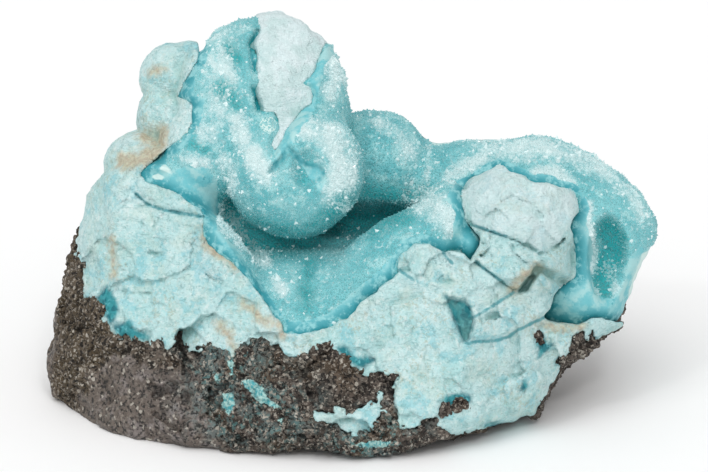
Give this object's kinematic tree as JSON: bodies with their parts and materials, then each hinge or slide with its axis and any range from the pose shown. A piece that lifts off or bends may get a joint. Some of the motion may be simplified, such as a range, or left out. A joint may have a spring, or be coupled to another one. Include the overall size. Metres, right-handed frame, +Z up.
{
  "type": "quartz on chrysocolla mineral specimen",
  "caption": "Hand-size mineral specimen: sparkling blue-green quartz druse lining a hollow and rounded lobes of pale chrysocolla, on dark brown host rock.",
  "frame": {"origin": "on the flat resting face, below the middle of the broken front face", "axes": "+X runs right along the broken front face, +Y runs back into the specimen, +Z is up from the resting face"},
  "size_m": [0.0645, 0.036, 0.04],
  "materials": {
    "host_rock": "rough broken rock",
    "chrysocolla": "chalky to waxy",
    "quartz_druse": "sparkling crystal crust"
  },
  "bodies": {
    "root": {"host_rock": "host_rock", "chrysocolla": "chrysocolla", "quartz_druse": "quartz_druse"}
  },
  "joints": []
}
